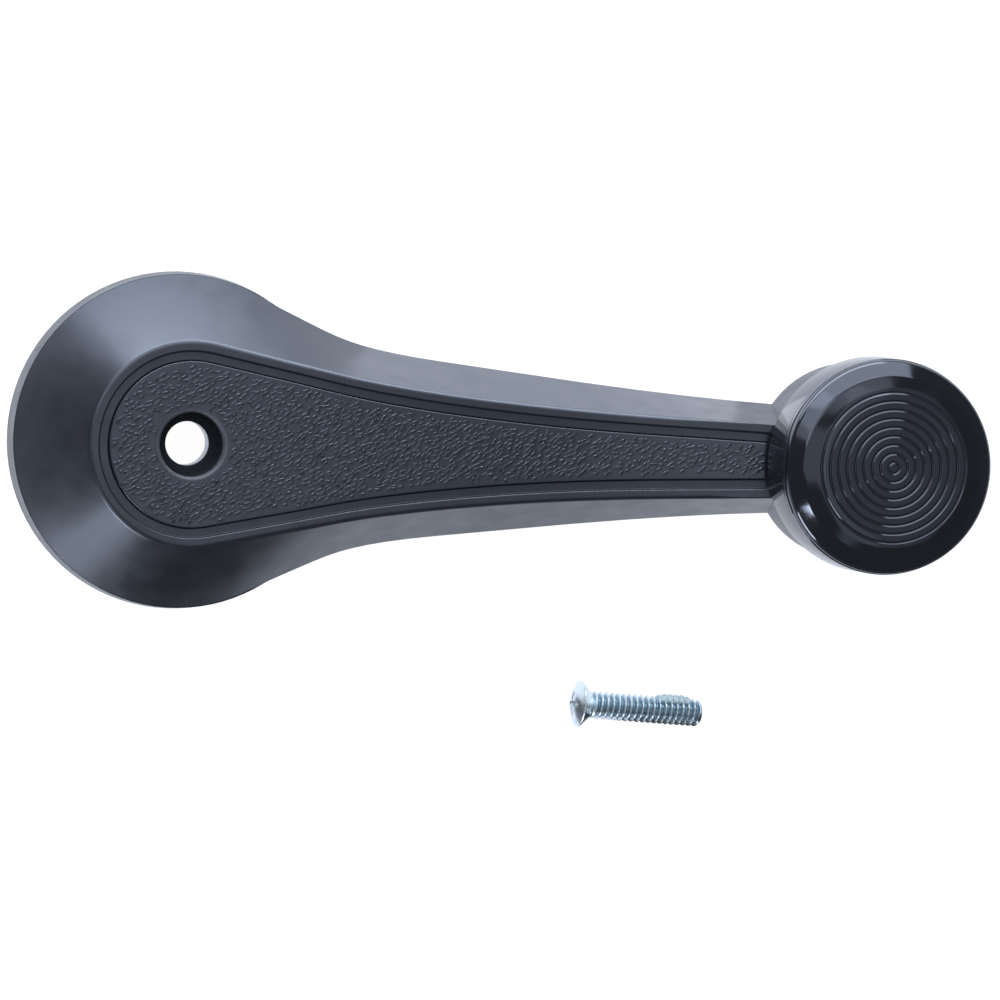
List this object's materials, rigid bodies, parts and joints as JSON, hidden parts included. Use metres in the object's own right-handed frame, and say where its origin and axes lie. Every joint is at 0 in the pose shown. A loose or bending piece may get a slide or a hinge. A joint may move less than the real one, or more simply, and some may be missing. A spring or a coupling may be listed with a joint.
{
  "type": "car window winder handle",
  "caption": "Car window winder handle with a round splined hub, a tapered arm with a grained inlay, a spinning ringed knob and a loose countersunk screw.",
  "frame": {"origin": "on the shaft axis at the back face of the hub", "axes": "+X from the hub to the knob, +Z out of the front face along the shaft axis"},
  "size_m": [0.1646, 0.0759, 0.0318],
  "materials": {
    "black_moulding": "satin moulded",
    "black_grain": "pebble grained",
    "cast_zinc": "as cast",
    "steel": "plain",
    "nylon": "natural",
    "knob_black": "high gloss",
    "zinc_plate": "bright zinc plated",
    "patch_nylon": "sprayed"
  },
  "bodies": {
    "root": {"handle_shell": "black_moulding", "grained_inlay": "black_grain", "hub_insert": "cast_zinc", "knob_spindle": "steel", "spindle_backing_washer": "steel", "knob_thrust_washer": "nylon", "winder_screw": "zinc_plate", "screw_locking_patch": "patch_nylon"},
    "knob": {"knob_body": "knob_black", "knob_cap": "knob_black", "knob_bush": "nylon", "knob_spring_washer": "steel"}
  },
  "joints": [
    {"name": "knob_spin", "type": "hinge", "parent": "root", "child": "knob", "pos_m": [0.1175, 0, 0.0225], "axis": [0, 0, 1], "continuous": true}
  ]
}
